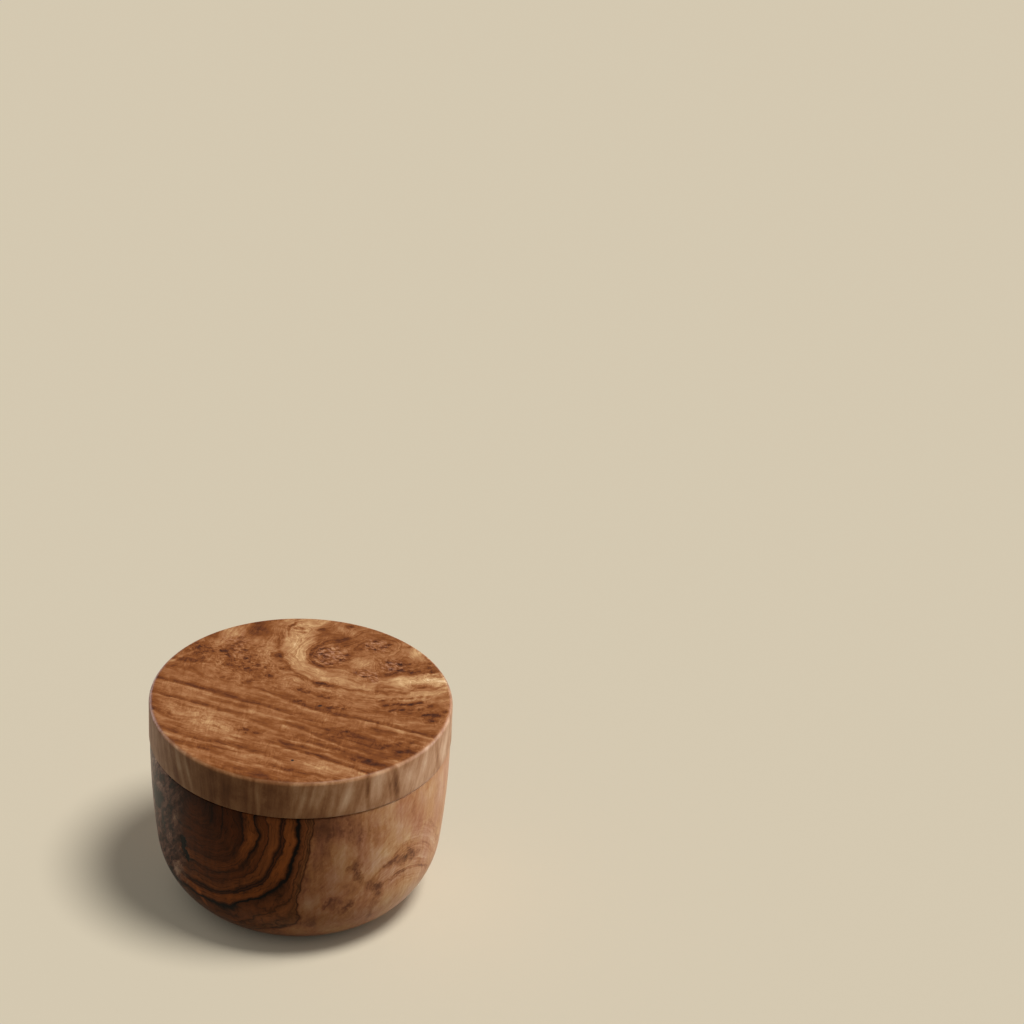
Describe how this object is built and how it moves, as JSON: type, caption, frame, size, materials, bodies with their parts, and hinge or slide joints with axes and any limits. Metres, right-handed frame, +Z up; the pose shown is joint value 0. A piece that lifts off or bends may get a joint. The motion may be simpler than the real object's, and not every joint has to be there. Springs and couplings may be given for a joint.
{
  "type": "salt box with swivel lid",
  "caption": "Round turned-wood salt box: a thick-walled bowl with a flat foot and a flush flat lid that swivels sideways on a hidden upright pin and is held shut by magnets.",
  "frame": {"origin": "middle of the flat foot, on the surface that the box stands on", "axes": "+Z up along the axis of the turned bowl; -Y is the front, where the magnets are; +Y is the back, where the pin is"},
  "size_m": [0.1, 0.1, 0.073],
  "materials": {
    "bowl_wood": "turned, sanded and oiled olive wood, satin, dark heartwood on one side",
    "lid_wood": "turned, sanded and oiled olive wood, satin, with burl and straight grain",
    "bush_brass": "turned brass, plain",
    "pin_steel": "ground stainless dowel pin",
    "magnet_nickel": "nickel-plated disc magnet"
  },
  "bodies": {
    "bowl_body": {"bowl": "bowl_wood", "pivot_bush": "bush_brass", "bowl_magnet": "magnet_nickel"},
    "lid_body": {"lid": "lid_wood", "pivot_pin": "pin_steel", "lid_magnet": "magnet_nickel"}
  },
  "joints": [
    {"name": "lid_swivel", "type": "hinge", "parent": "bowl_body", "child": "lid_body", "pos_m": [0, 0.0442, 0.05915], "axis": [0, 0, 1], "continuous": true}
  ]
}
